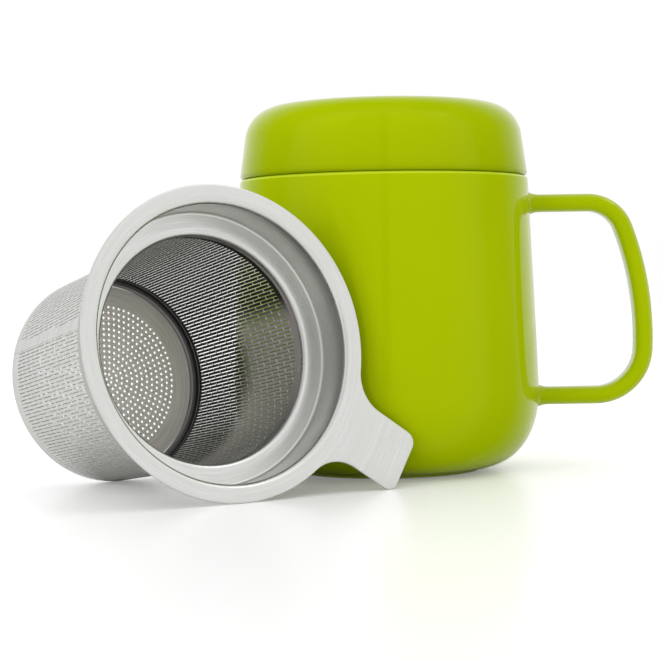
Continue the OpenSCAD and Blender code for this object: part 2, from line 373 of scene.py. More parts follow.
def belly_points(bottom_r, side_r, low, steps):
    """The rounded corner from a flat bottom up to the belly."""
    power = 2 / BELLY_CURVE
    angles = [math.pi / 2 * (1 - i / steps) for i in range(steps + 1)]
    return [
        (
            bottom_r + (side_r - bottom_r) * max(0, math.cos(a)) ** power,
            BELLY_HEIGHT - (BELLY_HEIGHT - low) * max(0, math.sin(a)) ** power,
        )
        for a in angles
    ]


def side_points(top_r, bottom_r, steps):
    """The side from above the belly to below the rounded lip."""
    top = RIM_HEIGHT - LIP_ROUND
    return [
        (side_radius(top_r, bottom_r, i / steps), BELLY_HEIGHT + (top - BELLY_HEIGHT) * i / steps)
        for i in range(1, steps + 1)
    ]


def body_radius(height):
    """Outer radius of the mug's body at a height, in millimetres."""
    if height >= BELLY_HEIGHT:
        share = (height - BELLY_HEIGHT) / (RIM_HEIGHT - LIP_ROUND - BELLY_HEIGHT)
        return side_radius(RIM_R, BELLY_R, share)
    drop = (BELLY_HEIGHT - height) / (BELLY_HEIGHT - FOOT_HEIGHT)
    return FOOT_R + (BELLY_R - FOOT_R) * (1 - drop**BELLY_CURVE) ** (1 / BELLY_CURVE)


def spin(bm, loop, centre, axis, angle, steps, merge=False):
    """Spins a loop round an axis, and returns the loop at its far end."""
    return bmesh.ops.spin(
        bm, geom=loop, cent=centre, axis=axis, dvec=(0, 0, 0), angle=angle, steps=steps,
        use_merge=merge, use_normal_flip=False, use_duplicate=False,
    )["geom_last"]


def spin_outline(outline):
    """A closed outline of (radius, height) points, spun once round the upright axis."""
    bm = bmesh.new()
    points = [bm.verts.new((r * MM, 0, z * MM)) for r, z in outline]
    edges = [bm.edges.new(pair) for pair in zip(points, points[1:] + points[:1])]
    spin(bm, points + edges, (0, 0, 0), (0, 0, 1), math.tau, ROUND_STEPS, merge=True)
    bmesh.ops.remove_doubles(bm, verts=bm.verts, dist=1e-7)
    bmesh.ops.recalc_face_normals(bm, faces=bm.faces)
    return bm


def round_edges(bm, edges, radius):
    """Rounds off sharp edges by a radius in millimetres."""
    bmesh.ops.bevel(
        bm, geom=edges, offset=radius * MM, offset_type="OFFSET", segments=3, profile=0.5,
        affect="EDGES", material=-1,
    )


def mesh_from(bm, name):
    """Turns the bmesh into a mesh, and frees it."""
    mesh = bpy.data.meshes.new(name)
    bm.to_mesh(mesh)
    bm.free()
    return mesh


def add_object(name, data):
    """An object in the scene that shows a mesh, lamp or camera."""
    made = bpy.data.objects.new(name, data)
    bpy.context.scene.collection.objects.link(made)
    return made


def finished_piece(bm, name, body, nodes, slot, *materials):
    """Turns the bmesh into a piece that rides on a body and stands for its CAD nodes."""
    mesh = mesh_from(bm, name)
    mesh.shade_smooth()
    mesh.set_sharp_from_angle(angle=math.radians(CREASE))
    for material in materials:
        mesh.materials.append(material)
    piece = add_object(name, mesh)
    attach(piece, body)
    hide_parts(*nodes)


# ---- Material building blocks ----


def feed(node, values):
    """Sets or links a node's inputs, by name or number."""
    for key, value in values.items():
        if isinstance(value, bpy.types.NodeSocket):
            node.id_data.links.new(value, node.inputs[key])
        else:
            node.inputs[key].default_value = value


def new_node(tree, kind, values=None, **settings):
    """A node with its settings, and its inputs set or linked."""
    node = tree.nodes.new(kind)
    for key, value in settings.items():
        setattr(node, key, value)
    feed(node, values or {})
    return node


def maths(tree, operation, *values):
    """One step of arithmetic on numbers."""
    inputs = dict(enumerate(values))
    return new_node(tree, "ShaderNodeMath", inputs, operation=operation).outputs[0]


def vector_maths(tree, operation, *values):
    """Outputs of one step of arithmetic on vectors."""
    inputs = dict(enumerate(values))
    return new_node(tree, "ShaderNodeVectorMath", inputs, operation=operation).outputs


def spread(tree, value, start, end, low=0.0, high=1.0, **settings):
    """A value's way from start to end, spread over low to high."""
    return new_node(
        tree, "ShaderNodeMapRange",
        {"Value": value, "From Min": start, "From Max": end, "To Min": low, "To Max": high},
        **settings,
    ).outputs["Result"]


def soft_spread(tree, value, *limits):
    """The same, with soft ends."""
    return spread(tree, value, *limits, interpolation_type="SMOOTHSTEP")


def toned(tree, mask, colour, tone):
    """A colour that changes to a plain tone where a mask says so."""
    if not isinstance(colour, bpy.types.NodeSocket):
        colour = (*colour, 1)
    return new_node(
        tree, "ShaderNodeMix", {"Factor": mask, 6: colour, 7: (*tone, 1)}, data_type="RGBA"
    ).outputs[2]


def level_ramp(tree, value, stops):
    """A grey ramp from (place, level) stops, for use as a mask."""
    band = new_node(tree, "ShaderNodeValToRGB", {"Fac": value})
    ramp = band.color_ramp.elements
    ramp.remove(ramp[1])
    ramp[0].position, ramp[0].color = stops[0][0], (*(stops[0][1],) * 3, 1)
    for place, level in stops[1:]:
        ramp.new(place).color = (level, level, level, 1)
    return band.outputs["Color"]


def round_axis(tree, place):
    """A place's flat part, its distance from the upright axis and its height."""
    flat = vector_maths(tree, "MULTIPLY", place, (1, 1, 0))[0]
    height = new_node(tree, "ShaderNodeSeparateXYZ", {0: place}).outputs["Z"]
    return flat, vector_maths(tree, "LENGTH", flat)["Value"], height


def shared_effect(tree, name, draw, values):
    """Outputs of a node group that is drawn once, by a function, and used wherever it's named."""
    group = bpy.data.node_groups.get(name)
    if group is None:
        group = bpy.data.node_groups.new(name, "ShaderNodeTree")
        for socket in values:
            kind = "NodeSocketVector" if socket == "Position" else "NodeSocketFloat"
            group.interface.new_socket(name=socket, in_out="INPUT", socket_type=kind)
        made = draw(group, group.nodes.new("NodeGroupInput").outputs)
        for socket in made:
            group.interface.new_socket(
                name=socket, in_out="OUTPUT", socket_type="NodeSocketFloat"
            )
        feed(group.nodes.new("NodeGroupOutput"), made)
    return new_node(tree, "ShaderNodeGroup", values, node_tree=group).outputs


def draw_soft_drift(tree, given):
    """Cloudy noise of the given size, spread between the two given values."""
    scale = maths(tree, "DIVIDE", 1.0, given["Size"])
    noise = new_node(
        tree, "ShaderNodeTexNoise", {"Vector": given["Position"], "Scale": scale, "Detail": 3.0}
    )
    drift = spread(tree, noise.outputs["Fac"], *NOISE_SPAN, given["Low"], given["High"])
    return {"Value": drift}


def soft_drift(tree, place, size, low, high):
    """Slow, cloudy change over a surface, between two values."""
    values = {"Position": place, "Size": size, "Low": low, "High": high}
    return shared_effect(tree, "Soft Drift", draw_soft_drift, values)["Value"]


def draw_spun_lines(tree, given):
    """Noise that is drawn out round the axis into streaks, at the given spacing."""
    flat, radius, height = round_axis(tree, given["Position"])
    way = vector_maths(tree, "NORMALIZE", flat)[0]
    streaked = new_node(
        tree, "ShaderNodeVectorMath", {0: way, "Scale": given["Streaks"]}, operation="SCALE"
    )
    ends = new_node(tree, "ShaderNodeSeparateXYZ", {0: streaked.outputs[0]}).outputs
    across = maths(tree, "DIVIDE", maths(tree, "ADD", radius, height), given["Spacing"])
    place = new_node(
        tree, "ShaderNodeCombineXYZ", {"X": across, "Y": ends["X"], "Z": ends["Y"]}
    )
    noise = new_node(
        tree, "ShaderNodeTexNoise",
        {"Vector": place.outputs[0], "Scale": 1.0, "Detail": 2.0, "Roughness": 0.6},
    )
    return {"Lines": noise.outputs["Fac"]}


def spun_lines(tree, place, spacing, streaks):
    """Fine lines round an upright axis, as turning and polishing leave them on sheet steel."""
    values = {"Position": place, "Spacing": spacing, "Streaks": streaks}
    return shared_effect(tree, "Spun Lines", draw_spun_lines, values)["Lines"]


def draw_painted_glaze_light(tree, given):
    """Masks for the painted highlight on the mug's lip and the painted shade that darkens the lid
    towards its lower edge.
    """
    _, radius, height = round_axis(tree, given["Position"])
    outer = spread(tree, radius, *((RING_OUTER_R + fade) * MM for fade in EDGE_FADE))
    band = spread(tree, height, *((RIM_HEIGHT + edge) * MM for edge in EDGE_BAND))
    return {
        mask: maths(tree, "MULTIPLY", outer, level_ramp(tree, band, stops))
        for mask, stops in (("Lip Highlight", LIP_HIGHLIGHT_STOPS), ("Lid Edge Shade", LID_SHADE_STOPS))
    }


def draw_basket_inside(tree, given):
    """Masks for the inside of the basket's wall, for the painted shade in its corner and collar,
    and for its painted highlight line and painted sheen.
    """
    flat, radius, height = round_axis(tree, given["Position"])
    # Inside the middle of the wall's sheet, which is unrolled round the bend above the base
    middle = spread(
        tree, height, -WALL_TOP * MM, -WALL_CORNER * MM,
        (LEDGE_R + WALL_SHEET - SLIT_SHEET / 2) * MM, (BASE_R - SLIT_SHEET / 2) * MM, clamp=False,
    )
    bend = (BASE_R - BASE_ROUND) * MM
    out = maths(tree, "MAXIMUM", maths(tree, "SUBTRACT", radius, bend), 0.0)
    down = maths(tree, "MINIMUM", maths(tree, "ADD", height, WALL_CORNER * MM), 0.0)
    turned = new_node(tree, "ShaderNodeCombineXYZ", {"X": out, "Y": down}).outputs[0]
    unrolled = maths(tree, "ADD", vector_maths(tree, "LENGTH", turned)["Value"], bend)
    within = maths(tree, "LESS_THAN", unrolled, middle)
    # Above the middle of the base's sheet
    base_middle = (WALL_SHEET + BASE_PROUD - BASE_SHEET / 2 - BASKET_DEPTH) * MM
    fade = (bend - away * MM for away in BEND_FADE)
    above = maths(tree, "GREATER_THAN", height, spread(tree, radius, *fade, base_middle, BELOW_ALL))
    inside = maths(tree, "MULTIPLY", within, above)
    foot = spread(
        tree, height, (CORNER_RISE - WALL_CORNER) * MM,
        (-BASE_ROUND + WALL_SHEET - WALL_CORNER) * MM,
    )
    # Painted sheen: a lighter patch on one side of the wall's inside, standing for a reflection
    turn = math.radians(PAINTED_SHEEN_TURN)
    towards = vector_maths(tree, "DOT_PRODUCT", flat, (math.cos(turn), math.sin(turn), 0))["Value"]
    painted_patch = maths(
        tree, "MULTIPLY", soft_spread(tree, towards, *(side * MM for side in PAINTED_SHEEN_SIDE)),
        soft_spread(tree, height, *(level * MM for level in PAINTED_SHEEN_HEIGHT)),
    )
    below = soft_spread(tree, height, *(level * MM for level in COLLAR_SHADE_FADE))
    outer = spread(tree, radius, (COLLAR_R - INNER_BEND) * MM, COLLAR_R * MM)
    return {
        "Inside": inside,
        "Outside": maths(tree, "SUBTRACT", 1.0, inside),
        "Painted Sheen": maths(tree, "MULTIPLY", inside, painted_patch),
        # Painted shade in the corner, then a painted highlight line and a lighter band at the foot
        "Corner Shade": maths(tree, "MULTIPLY", inside, level_ramp(tree, foot, CORNER_SHADE_STOPS)),
        "Painted Highlight Line": maths(tree, "MULTIPLY", inside, level_ramp(tree, foot, HIGHLIGHT_LINE_STOPS)),
        "Collar Shade": maths(tree, "MULTIPLY", below, outer),
    }


def empty_material(name):
    """A node material with its position input, Principled shader and output."""
    material = bpy.data.materials.new(name)
    material.use_nodes = True
    tree = material.node_tree
    tree.nodes.clear()
    place = new_node(tree, "ShaderNodeTexCoord").outputs["Object"]
    shader = new_node(tree, "ShaderNodeBsdfPrincipled")
    new_node(tree, "ShaderNodeOutputMaterial", {"Surface": shader.outputs["BSDF"]})
    return material, tree, place, shader


def bumped(tree, height, strength, distance):
    """A surface's normal, with small bumps by height."""
    values = {"Strength": strength, "Distance": distance, "Height": height}
    return new_node(tree, "ShaderNodeBump", values).outputs["Normal"]


def glaze_material(settings, name="Lime Glaze", gleam=BODY_GLEAM, blue=0.03):
    """Glossy lime glaze with a painted highlight at the lip and painted shade towards the lid's
    edge, bare under the foot.
    """
    if name in bpy.data.materials:
        return bpy.data.materials[name]
    material, tree, place, shader = empty_material(name)
    pooled = soft_drift(tree, place, size=0.035, low=0.0, high=1.0)
    glaze = toned(tree, pooled, settings.glaze_colour, settings.glaze_pooled)
    edges = shared_effect(tree, "Painted Glaze Light", draw_painted_glaze_light, {"Position": place})
    # Painted shade towards the lid's lower edge, then a painted highlight on the lip
    glaze = toned(tree, edges["Lid Edge Shade"], glaze, settings.lid_shade_colour)
    glaze = toned(tree, edges["Lip Highlight"], glaze, settings.lip_highlight_colour)
    height = new_node(tree, "ShaderNodeSeparateXYZ", {0: place}).outputs["Z"]
    bare = spread(tree, height, GLAZE_END * MM, CLAY_BARE * MM)
    blur = settings.glaze_roughness
    gloss = soft_drift(tree, place, size=0.012, low=blur * 0.8, high=blur * 1.3)
    roughness = new_node(
        tree, "ShaderNodeMix", {"Factor": bare, 2: gloss, 3: CLAY_ROUGHNESS}, data_type="FLOAT"
    )
    ripple = new_node(
        tree, "ShaderNodeTexNoise", {"Vector": place, "Scale": 260.0, "Detail": 1.0}
    )
    turned = new_node(tree, "ShaderNodeLayerWeight", {"Blend": 0.5}).outputs["Facing"]
    feed(
        shader,
        {
            "Base Color": toned(tree, bare, glaze, settings.clay_colour),
            "Roughness": roughness.outputs[0],
            "Normal": bumped(tree, ripple.outputs["Fac"], strength=0.25, distance=0.00002),
            "Specular IOR Level": level_ramp(tree, turned, gleam),
            "Specular Tint": (1.0, 1.0, blue, 1),
        },
    )
    return material


def steel_material(
    name, colour, shade, spacing, streaks, rough, depth, tones=(), inner_metal=1.0, edge_tint=1.0
):
    """Satin sheet steel with lines spun round the basket's axis, toned where a mask says so; some
    tones are painted light and shade.
    """
    material, tree, place, shader = empty_material(name)
    own = new_node(
        tree, "ShaderNodeMapping",
        {
            "Vector": place, "Location": Vector(FLANGE_PLACE) * MM,
            "Rotation": basket_placement().to_euler("XYZ"),
        },
        vector_type="TEXTURE",
    ).outputs[0]
    lines = spun_lines(tree, own, spacing, streaks)
    steel = toned(tree, spread(tree, lines, *LINE_SPAN), [c * shade for c in colour], colour)
    masks = shared_effect(tree, "Basket Inside", draw_basket_inside, {"Position": own})
    for mask, tone in tones:
        steel = toned(tree, masks[mask], steel, tone)
    satin = spread(
        tree, lines, *NOISE_SPAN, rough * (1 + SATIN_SWING), rough * (1 - SATIN_SWING)
    )
    clouds = soft_drift(tree, own, size=0.009, low=-0.03, high=0.05)
    feed(
        shader,
        {
            "Base Color": steel,
            "Roughness": maths(tree, "ADD", satin, clouds),
            "Metallic": spread(tree, masks["Inside"], 0.0, 1.0, 1.0, inner_metal),
            "Normal": bumped(tree, lines, strength=0.5, distance=depth),
            "Specular Tint": (edge_tint, edge_tint, edge_tint, 1),
        },
    )
    return material


# ---- Mug ----


def new_loop(made):
    """The vertices and edges of the loop that an extrusion or a spin has just made."""
    verts = [part for part in made if isinstance(part, bmesh.types.BMVert)]
    own = set(verts)
    edges = [
        part for part in made
        if isinstance(part, bmesh.types.BMEdge) and own.issuperset(part.verts)
    ]
    return verts, edges


class TEAMUG_OT_body(bpy.types.Operator):
    """Spin the mug's body with its rounded rim, inside and foot ring"""

    bl_idname = "tea_mug.body"
    bl_label = "Mug Body"

    def execute(self, context):
        lip = RIM_HEIGHT - LIP_ROUND
        mouth_r = RIM_R - WALL
        outside = (
            arc((FOOT_R - FOOT_ROUND, FOOT_ROUND), FOOT_ROUND, -90, 0, 4)
            + belly_points(FOOT_R, BELLY_R, FOOT_HEIGHT, 28)
            + side_points(RIM_R, BELLY_R, 20)
            + arc((RIM_R - LIP_ROUND, lip), LIP_ROUND, 10, 90, 8)
        )
        inside = (
            belly_points(FLOOR_R, BELLY_R - WALL, FLOOR_HEIGHT, 20)
            + side_points(mouth_r, BELLY_R - WALL, 16)
            + arc((mouth_r + LIP_ROUND, lip), LIP_ROUND, 172, 90, 8)
        )
        under = [(0, FLOOR_HEIGHT), (0, FOOT_HOLLOW), (FOOT_INNER_R - FOOT_SLOPE, FOOT_HOLLOW)]
        under += arc((FOOT_INNER_R + FOOT_FLAT_INSET, FOOT_ROUND), FOOT_ROUND, 225, 270, 3)
        finished_piece(
            spin_outline(outside + inside[::-1] + under), "mug_body_glazed", "mug",
            ["mug_body"], "glaze", glaze_material(context.scene.tea_mug_finish),
        )
        return {"FINISHED"}


def bend_centre(height, radius):
    """Centre of a bend that touches its arm at one height and the bowed grip from inside."""
    rise = height - BOW_CENTRE[1]
    return BOW_CENTRE[0] + math.sqrt((BOW_R - radius) ** 2 - rise**2), height


def bend_angle(centre):
    """Angle at which a bend passes into the bowed grip."""
    return math.atan2(centre[1] - BOW_CENTRE[1], centre[0] - BOW_CENTRE[0])


def handle_loop():
    """The handle's rounded cross-section as an open loop, at the start of the upper bend."""
    bm = bmesh.new()
    bmesh.ops.create_grid(bm, x_segments=1, y_segments=1, size=0.5)
    bmesh.ops.scale(bm, vec=(HANDLE_THICK * MM, HANDLE_WIDTH * MM, 1), verts=bm.verts)
    bmesh.ops.bevel(
        bm, geom=bm.verts[:], offset=HANDLE_EDGE * MM, offset_type="OFFSET", segments=7,
        profile=0.5, affect="VERTICES", material=-1,
    )
    bmesh.ops.delete(bm, geom=bm.faces[:], context="FACES_ONLY")
    bmesh.ops.rotate(bm, verts=bm.verts, matrix=Matrix.Rotation(math.pi / 2, 3, "Y"))
    return bm


def draw_arm(bm, edges, middle, settings):
    """Runs an arm in to the body, where it flares out and ends inside the wall."""
    core_y = (HANDLE_WIDTH / 2 - HANDLE_EDGE) * MM
    core_z = (HANDLE_THICK / 2 - HANDLE_EDGE) * MM
    steps = 8
    widened = 0
    for step in range(steps + 1):
        verts, edges = new_loop(bmesh.ops.extrude_edge_only(bm, edges=edges)["geom"])
        turn = math.pi / 2 * step / steps
        wider = settings.handle_flare * (1 - math.cos(turn)) - widened
        widened += wider
        for v in verts:
            y, z = v.co.y, v.co.z - middle
            out = Vector((0, y - min(max(y, -core_y), core_y), z - min(max(z, -core_z), core_z)))
            v.co += out.normalized() * wider
            skin = math.sqrt((body_radius(v.co.z / MM) * MM) ** 2 - v.co.y**2)
            v.co.x = skin + settings.handle_run * (1 - math.sin(turn)) - FLARE_SINK * MM
    verts, edges = new_loop(bmesh.ops.extrude_edge_only(bm, edges=edges)["geom"])
    bmesh.ops.translate(bm, verts=verts, vec=(-ARM_END * MM, 0, 0))
    bmesh.ops.edgeloop_fill(bm, edges=edges)


class TEAMUG_OT_handle(bpy.types.Operator):
    """Sweep the handle's rounded section round its two bends and its bowed grip"""

    bl_idname = "tea_mug.handle"
    bl_label = "Handle"

    def execute(self, context):
        settings = context.scene.tea_mug_finish
        top = bend_centre(HANDLE_TOP - TOP_BEND_R, TOP_BEND_R)
        low = bend_centre(HANDLE_LOW + LOW_BEND_R, LOW_BEND_R)
        middle = (HANDLE_TOP - HANDLE_THICK / 2) * MM
        bm = handle_loop()
        bmesh.ops.translate(bm, verts=bm.verts, vec=(top[0] * MM, 0, middle))
        first = bm.edges[:]
        loop = bm.verts[:] + first
        for (x, z), start, end, steps in (
            (top, math.pi / 2, bend_angle(top), 20),
            (BOW_CENTRE, bend_angle(top), bend_angle(low), 14),
            (low, bend_angle(low), -math.pi / 2, 22),
        ):
            loop = spin(bm, loop, (x * MM, 0, z * MM), (0, 1, 0), start - end, steps)
        draw_arm(bm, new_loop(loop)[1], (HANDLE_LOW + HANDLE_THICK / 2) * MM, settings)
        draw_arm(bm, first, middle, settings)
        bmesh.ops.recalc_face_normals(bm, faces=bm.faces)
        finished_piece(
            bm, "mug_handle_loop", "mug", ["mug_handle"], "glaze",
            glaze_material(
                settings, "Lime Glaze on the Handle", gleam=HANDLE_GLEAM, blue=0.5
            ),
        )
        return {"FINISHED"}


# ---- Lid ----


def lid_top(inset, steps):
    """The lid's shoulder and dome, set in from the outer face."""
    return arc(
        LID_SHOULDER_CENTRE, LID_SHOULDER - inset, LID_LEAN, LID_DOME_ANGLE, 2 * steps
    ) + arc((0, LID_TOP - LID_DOME), LID_DOME - inset, LID_DOME_ANGLE, 90, steps)


class TEAMUG_OT_lid(bpy.types.Operator):
    """Spin the domed lid and the ring that centres it in the mug"""

    bl_idname = "tea_mug.lid"
    bl_label = "Lid"

    def execute(self, context):
        glaze = glaze_material(context.scene.tea_mug_finish)
        lean = (LEDGE_TOP - RIM_HEIGHT) * math.tan(math.radians(LID_LEAN))
        inner_side = LID_EDGE_R - LID_WALL - lean
        corner = (inner_side - LEDGE_CORNER, LEDGE_TOP + LEDGE_CORNER)
        shoulder = (RING_INNER_R + RING_SHOULDER, LEDGE_TOP - RING_SHOULDER)
        shell = (
            arc((LID_EDGE_R - LID_ROUND, RIM_HEIGHT + LID_ROUND), LID_ROUND, -90, LID_LEAN, 8)
            + lid_top(0, 16)
            + lid_top(LID_WALL, 12)[::-1]
            + arc(corner, LEDGE_CORNER, 0, -90, 4)
            + arc(shoulder, RING_SHOULDER, 90, 180, 4)
            + [(RING_INNER_R, RIM_HEIGHT)]
        )
        finished_piece(
            spin_outline(shell), "lid_dome_glazed", "lid", ["lid_shell"], "glaze", glaze
        )
        foot = RIM_HEIGHT - RING_DEPTH + RING_ROUND
        ring = (
            arc((RING_INNER_R + RING_ROUND, foot), RING_ROUND, 180, 270, 6)
            + arc((RING_OUTER_R - RING_ROUND, foot), RING_ROUND, 270, 360, 6)
            + [(RING_OUTER_R, RIM_HEIGHT), (RING_INNER_R, RIM_HEIGHT)]
        )
        finished_piece(spin_outline(ring), "lid_ring_glazed", "lid", ["lid_ring"], "glaze", glaze)
        return {"FINISHED"}


# ---- Basket, drawn upright with its flange's face at height 0 and its tab towards +X ----


def flange_edge(angle):
    """Radius of the flange's outline at an angle from the middle of the tab."""
    angle = abs(angle)
    ray = Vector((math.cos(angle), math.sin(angle)))
    root_y = TAB_HALF + TAB_FILLET
    root = Vector((math.sqrt((FLANGE_R + TAB_FILLET) ** 2 - root_y**2), root_y))
    corner = Vector((TAB_REACH - TAB_ROUND, TAB_HALF - TAB_ROUND))
    if angle >= math.atan2(root.y, root.x):
        return FLANGE_R
    if angle >= math.atan2(TAB_HALF, root.x):
        near = root @ ray
        return near - math.sqrt(max(0, near**2 - root @ root + TAB_FILLET**2))
    if angle >= math.atan2(TAB_HALF, corner.x):
        return TAB_HALF / ray.y
    if angle >= math.atan2(corner.y, TAB_REACH):
        far = corner @ ray
        return far + math.sqrt(far**2 - corner @ corner + TAB_ROUND**2)
    return TAB_REACH / ray.x


def thicken(bm, thickness):
    """Gives an open sheet its thickness, behind the faces that it has."""
    bmesh.ops.solidify(bm, geom=bm.faces[:], thickness=thickness * MM)


class TEAMUG_OT_basket_rim(bpy.types.Operator):
    """Shape the basket's flange with its tab, its collar, ledge and lip from one sheet"""

    bl_idname = "tea_mug.basket_rim"
    bl_label = "Basket Rim"

    def execute(self, context):
        settings = context.scene.tea_mug_basket
        ledge = -COLLAR_DEPTH
        lip_bend = INNER_BEND + RIM_SHEET
        sheet = (
            [(FLANGE_R, 0)] + [(FLANGE_R - inset, 0) for inset in FLANGE_LOOPS]
            + arc((COLLAR_R + FLANGE_BEND, -FLANGE_BEND), FLANGE_BEND, 90, 180, 8)
            + [(COLLAR_R, ledge / 2)]
            + arc((COLLAR_R - INNER_BEND, ledge + INNER_BEND), INNER_BEND, 0, -90, 6)
            + [((COLLAR_R + LEDGE_R) / 2, ledge)]
            + arc((LEDGE_R + lip_bend, ledge - lip_bend), lip_bend, 90, 180, 7)
            + [(LEDGE_R, ledge - RIM_SHEET - LIP_DEPTH)]
        )
        bm = bmesh.new()
        points = [bm.verts.new((r * MM, 0, z * MM)) for r, z in sheet]
        loop = points + [bm.edges.new(pair) for pair in zip(points, points[1:])]
        half = math.radians(TAB_TURN_HALF)
        bmesh.ops.rotate(bm, verts=points, matrix=Matrix.Rotation(-half, 3, "Z"))
        for turn, steps in ((2 * half, TAB_STEPS), (math.tau - 2 * half, FLANGE_STEPS)):
            loop = spin(bm, loop, (0, 0, 0), (0, 0, 1), turn, steps)
        bmesh.ops.remove_doubles(bm, verts=bm.verts, dist=1e-6)
        for v in bm.verts:
            if v.co.xy.length > (FLANGE_R - 0.1) * MM:
                edge = flange_edge(math.atan2(v.co.y, v.co.x))
                v.co.xy = v.co.xy.normalized() * edge * MM
        bmesh.ops.recalc_face_normals(bm, faces=bm.faces)
        if max(bm.faces, key=lambda f: f.calc_center_median().z).normal.z < 0:
            bmesh.ops.reverse_faces(bm, faces=bm.faces)
        thicken(bm, RIM_SHEET)
        outline = [
            e for e in bm.edges
            if len(e.link_faces) == 2 and e.calc_face_angle() > 1
            and min(v.co.xy.length for v in e.verts) > (FLANGE_R - 0.2) * MM
        ]
        round_edges(bm, outline, RIM_EDGE)
        bm.transform(basket_placement())
        # The collar and the inside of the lip are darkened with painted shade
        steel = steel_material(
            "Spun Steel", settings.steel_colour, shade=0.93, spacing=0.00035, streaks=2.5,
            rough=0.30, depth=0.000012,
            tones=[("Collar Shade", settings.collar_shade_colour), ("Inside", settings.painted_sheen_and_shade_colour)],
        )
        finished_piece(bm, "basket_rim_steel", "infuser", ["infuser_rim"], "rim_steel", steel)
        return {"FINISHED"}


def wall_place(angle, depth, proud):
    """Where a point of the flat sheet lies once the sheet is rolled and its edge turned in."""
    if depth <= WALL_CORNER:
        share = (depth - WALL_TOP) / (WALL_CORNER - WALL_TOP)
        radius = LEDGE_R + WALL_SHEET + (BASE_R - LEDGE_R - WALL_SHEET) * share + proud
        height = -depth
    else:
        turn = (depth - WALL_CORNER) / BASE_ROUND
        radius = BASE_R - BASE_ROUND + (BASE_ROUND + proud) * math.cos(turn)
        height = -WALL_CORNER - (BASE_ROUND + proud) * math.sin(turn)
    angle += math.radians(SEAM_ANGLE + TAB_TURN)
    return Vector((radius * math.cos(angle), radius * math.sin(angle), height)) * MM


def roll_up(bm, proud, thickness):
    """Rolls a flat sheet of (angle, depth) into the wall's shape, and gives it its thickness."""
    for v in bm.verts:
        v.co = wall_place(v.co.x, v.co.y, proud)
    bmesh.ops.recalc_face_normals(bm, faces=bm.faces)
    face = max(bm.faces, key=lambda f: f.calc_center_median().z)
    if face.normal.xy @ face.calc_center_median().xy < 0:
        bmesh.ops.reverse_faces(bm, faces=bm.faces)
    thicken(bm, thickness)


def stretch_edge(bm, depth, to_depths):
    """Extrudes the sheet's straight edge at one depth on to each of the depths that follow."""
    edges = [e for e in bm.edges if all(abs(v.co.y - depth) < 1e-4 for v in e.verts)]
    for further in to_depths:
        verts, edges = new_loop(bmesh.ops.extrude_edge_only(bm, edges=edges)["geom"])
        for v in verts:
            v.co.y = further


def slit_sheet(settings):
    """The wall's sheet laid flat, in angle and depth, with its staggered columns of slits."""
    columns = settings.slit_columns + 1
    pitch = math.tau / settings.slit_columns
    middle_r = (LEDGE_R + BASE_R) / 2
    slit = settings.slit_width / MM / middle_r
    begin, end = settings.slit_top / MM, settings.slit_bottom / MM
    repeat, bridge = settings.slit_pitch / MM, settings.bridge / MM
    cuts = (0, bridge, repeat / 2, repeat / 2 + bridge)
    rows = 4 * math.ceil((end - begin + 2 * SLIT_SWING) / repeat + 1)
    bm = bmesh.new()
    bmesh.ops.create_grid(bm, x_segments=2 * columns, y_segments=rows, size=0.5)
    bmesh.ops.translate(bm, verts=bm.verts, vec=(0.5, 0.5, 0))
    bmesh.ops.scale(bm, verts=bm.verts, vec=(2 * columns, rows, 1))
    open_faces = bm.faces.layers.int.new("open")
    plain = settings.seam_columns / 2
    for face in bm.faces:
        x, y = (int(c) for c in face.calc_center_median().xy)
        column, bar = divmod(x, 2)
        if plain <= column < settings.slit_columns - plain:
            bridged = y % 4 == 2 * (column % 2)
            face.material_index = int(bridged)
            face[open_faces] = int(not bridged and not bar)
    for v in bm.verts:
        x, y = round(v.co.x), round(v.co.y)
        angle = (x // 2) * pitch
        swing = SLIT_SWING * math.cos(angle + math.radians(SEAM_ANGLE - SLIT_SWING_ANGLE))
        depth = begin - SLIT_SWING - repeat + (y // 4) * repeat + cuts[y % 4] - swing
        angle += slit if x % 2 else 0
        lean = SHEET_LEAN * (angle / math.tau) ** SHEET_LEAN_POWER
        v.co = (angle + lean * (depth - begin) / middle_r, depth, 0)
    for place, outwards in (
        ((0, begin, 0), (0, -1, 0)), ((0, end, 0), (0, 1, 0)), ((math.tau, 0, 0), (1, 0, 0)),
    ):
        bmesh.ops.bisect_plane(
            bm, geom=bm.verts[:] + bm.edges[:] + bm.faces[:], plane_co=place,
            plane_no=outwards, clear_outer=True, dist=1e-6,
        )
    doomed = [f for f in bm.faces if f[open_faces]]
    turned = [WALL_CORNER + BASE_ROUND * math.pi / 2 * i / 6 for i in range(7)]
    stretch_edge(bm, begin, [WALL_TOP])
    stretch_edge(bm, end, turned)
    bmesh.ops.delete(bm, geom=doomed, context="FACES")
    return bm


